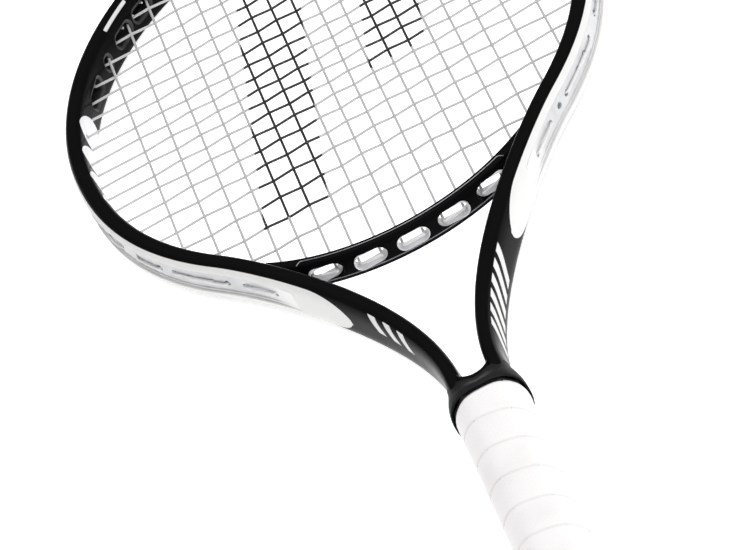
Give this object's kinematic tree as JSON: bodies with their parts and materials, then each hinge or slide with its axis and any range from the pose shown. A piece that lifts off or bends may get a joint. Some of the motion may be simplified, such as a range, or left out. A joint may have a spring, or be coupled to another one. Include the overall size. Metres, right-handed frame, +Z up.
{
  "type": "tennis racket",
  "caption": "Strung racket with an oval head, a split throat closed by a ported bridge, large string ports, a wrapped octagonal handle and a hinged butt door.",
  "frame": {"origin": "centre of the butt end face", "axes": "+Y from the butt to the tip, +Z up out of the front face, +X to the right seen from the front with the tip up; the string bed lies in the plane Z = 0"},
  "size_m": [0.2684, 0.6857, 0.036],
  "materials": {
    "frame_lacquer": "near-black lacquer over layered carbon, white on the outer sides",
    "bumper_nylon": "moulded nylon, fine matt grain",
    "grommet_nylon": "moulded nylon, light grey",
    "liner_white": "moulded, white",
    "liner_black": "moulded, black",
    "string": "translucent silver-white nylon, with painted dark marks",
    "handle_shell": "hard foamed polyurethane",
    "foam": "cut foam",
    "cap_plastic": "moulded, white",
    "door_plastic": "moulded, black",
    "steel": "drawn wire",
    "grip_wrap": "white perforated synthetic leather wrap",
    "tape": "woven adhesive tape",
    "collar_rubber": "soft moulded rubber"
  },
  "bodies": {
    "racket": {"left_shaft": "frame_lacquer", "left_low_hoop": "frame_lacquer", "left_high_hoop": "frame_lacquer", "tip_hoop": "frame_lacquer", "right_high_hoop": "frame_lacquer", "right_low_hoop": "frame_lacquer", "right_shaft": "frame_lacquer", "throat_bridge": "frame_lacquer", "throat_filler": "frame_lacquer", "bumper_guard": "bumper_nylon", "left_grommet_strip": "grommet_nylon", "right_grommet_strip": "grommet_nylon", "bridge_port_liners": "liner_white", "left_port_liners": "liner_white", "right_port_liners": "liner_white", "tip_port_liners": "liner_black", "main_strings": "string", "cross_strings": "string", "string_turns": "string", "front_pallet": "handle_shell", "back_pallet": "handle_shell", "handle_foam": "foam", "left_tube_plug": "foam", "right_tube_plug": "foam", "butt_cap": "cap_plastic", "butt_staples": "steel", "door_pin": "steel", "grip_tape": "grip_wrap", "finishing_tape": "tape", "grip_collar": "collar_rubber"},
    "butt_door": {"trap_door": "door_plastic"}
  },
  "joints": [
    {"name": "butt_door_hinge", "type": "hinge", "parent": "racket", "child": "butt_door", "pos_m": [0, 0.0022, -0.006], "axis": [1, 0, 0], "range_deg": [0, 90]}
  ]
}
